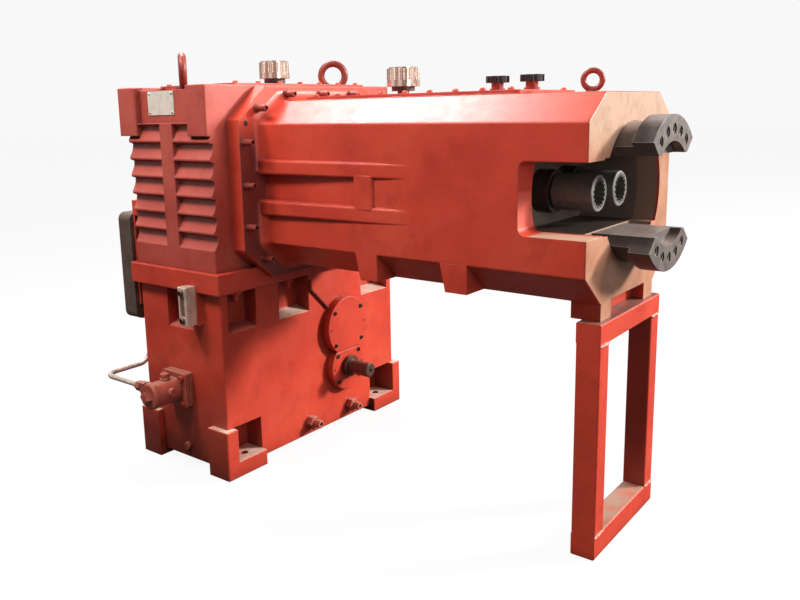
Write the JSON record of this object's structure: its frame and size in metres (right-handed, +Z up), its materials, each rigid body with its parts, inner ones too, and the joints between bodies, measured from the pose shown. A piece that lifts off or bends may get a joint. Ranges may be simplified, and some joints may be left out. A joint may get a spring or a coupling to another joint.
{
  "type": "twin-screw extruder gearbox",
  "caption": "Drive gearbox of a twin-screw plastic extruder: finned gear case on a reduction case, long distribution housing, splined output couplings, oil pump, cooler and front support.",
  "frame": {"origin": "on the floor, at the centre of the four foundation bolt holes", "axes": "+X along the screws to the barrel end, -Y to the side with the oil gauge, +Z up"},
  "size_m": [1.5305, 0.915, 1.1805],
  "materials": {
    "red_paint": "satin paint on castings",
    "machined_steel": "machined",
    "oxide_steel": "dark oxide",
    "pipe_steel": "plated",
    "plate": "satin",
    "gauge_aluminium": "satin",
    "sight_glass": "clear",
    "cooler_paint": "matt",
    "port_plastic": "protective caps",
    "neck_paint": "dark",
    "chrome": "polished",
    "black_plastic": "moulded"
  },
  "bodies": {
    "gearbox": {"lower_case": "red_paint", "mounting_feet": "red_paint", "upper_case": "red_paint", "upper_cover": "red_paint", "distribution_housing": "red_paint", "distribution_cover": "red_paint", "coupling_housing": "red_paint", "bearing_cover": "red_paint", "seal_cover": "red_paint", "pump_flange": "red_paint", "oil_pump": "red_paint", "pump_end_cover": "red_paint", "pump_fittings": "red_paint", "lube_pipe": "red_paint", "cooler_bracket": "red_paint", "drain_plugs": "red_paint", "support_top_beam": "red_paint", "support_post_near": "red_paint", "support_post_far": "red_paint", "support_bottom_beam": "red_paint", "eye_bolt_rear": "red_paint", "eye_bolt_middle": "red_paint", "eye_bolt_front": "red_paint", "name_plate": "plate", "barrel_lug_lower": "machined_steel", "barrel_lug_upper": "machined_steel", "seal_collars": "oxide_steel", "oil_gauge": "gauge_aluminium", "gauge_glass": "sight_glass", "oil_pipe": "pipe_steel", "oil_cooler": "cooler_paint", "cooler_ports": "port_plastic", "filler_neck_rear": "neck_paint", "filler_neck_front": "neck_paint", "filler_cap_rear": "chrome", "filler_cap_front": "chrome", "star_knob_rear": "black_plastic", "star_knob_front": "black_plastic"},
    "input": {"input_shaft": "machined_steel"},
    "output_near": {"output_shaft_near": "oxide_steel", "output_coupling_near": "oxide_steel"},
    "output_far": {"output_shaft_far": "oxide_steel", "output_coupling_far": "oxide_steel"}
  },
  "joints": [
    {"name": "input_spin", "type": "hinge", "parent": "gearbox", "child": "input", "pos_m": [0.18, 0.116, 0.203], "axis": [1, 0, 0], "continuous": true},
    {"name": "output_near_spin", "type": "hinge", "parent": "gearbox", "child": "output_near", "pos_m": [1.05, -0.061, 0.82], "axis": [1, 0, 0], "continuous": true},
    {"name": "output_far_spin", "type": "hinge", "parent": "gearbox", "child": "output_far", "pos_m": [1.05, 0.061, 0.82], "axis": [1, 0, 0], "continuous": true}
  ],
  "couplings": [
    {"joint": "output_near_spin", "follows": "input_spin", "ratio": 0.03125},
    {"joint": "output_far_spin", "follows": "input_spin", "ratio": -0.03125}
  ]
}
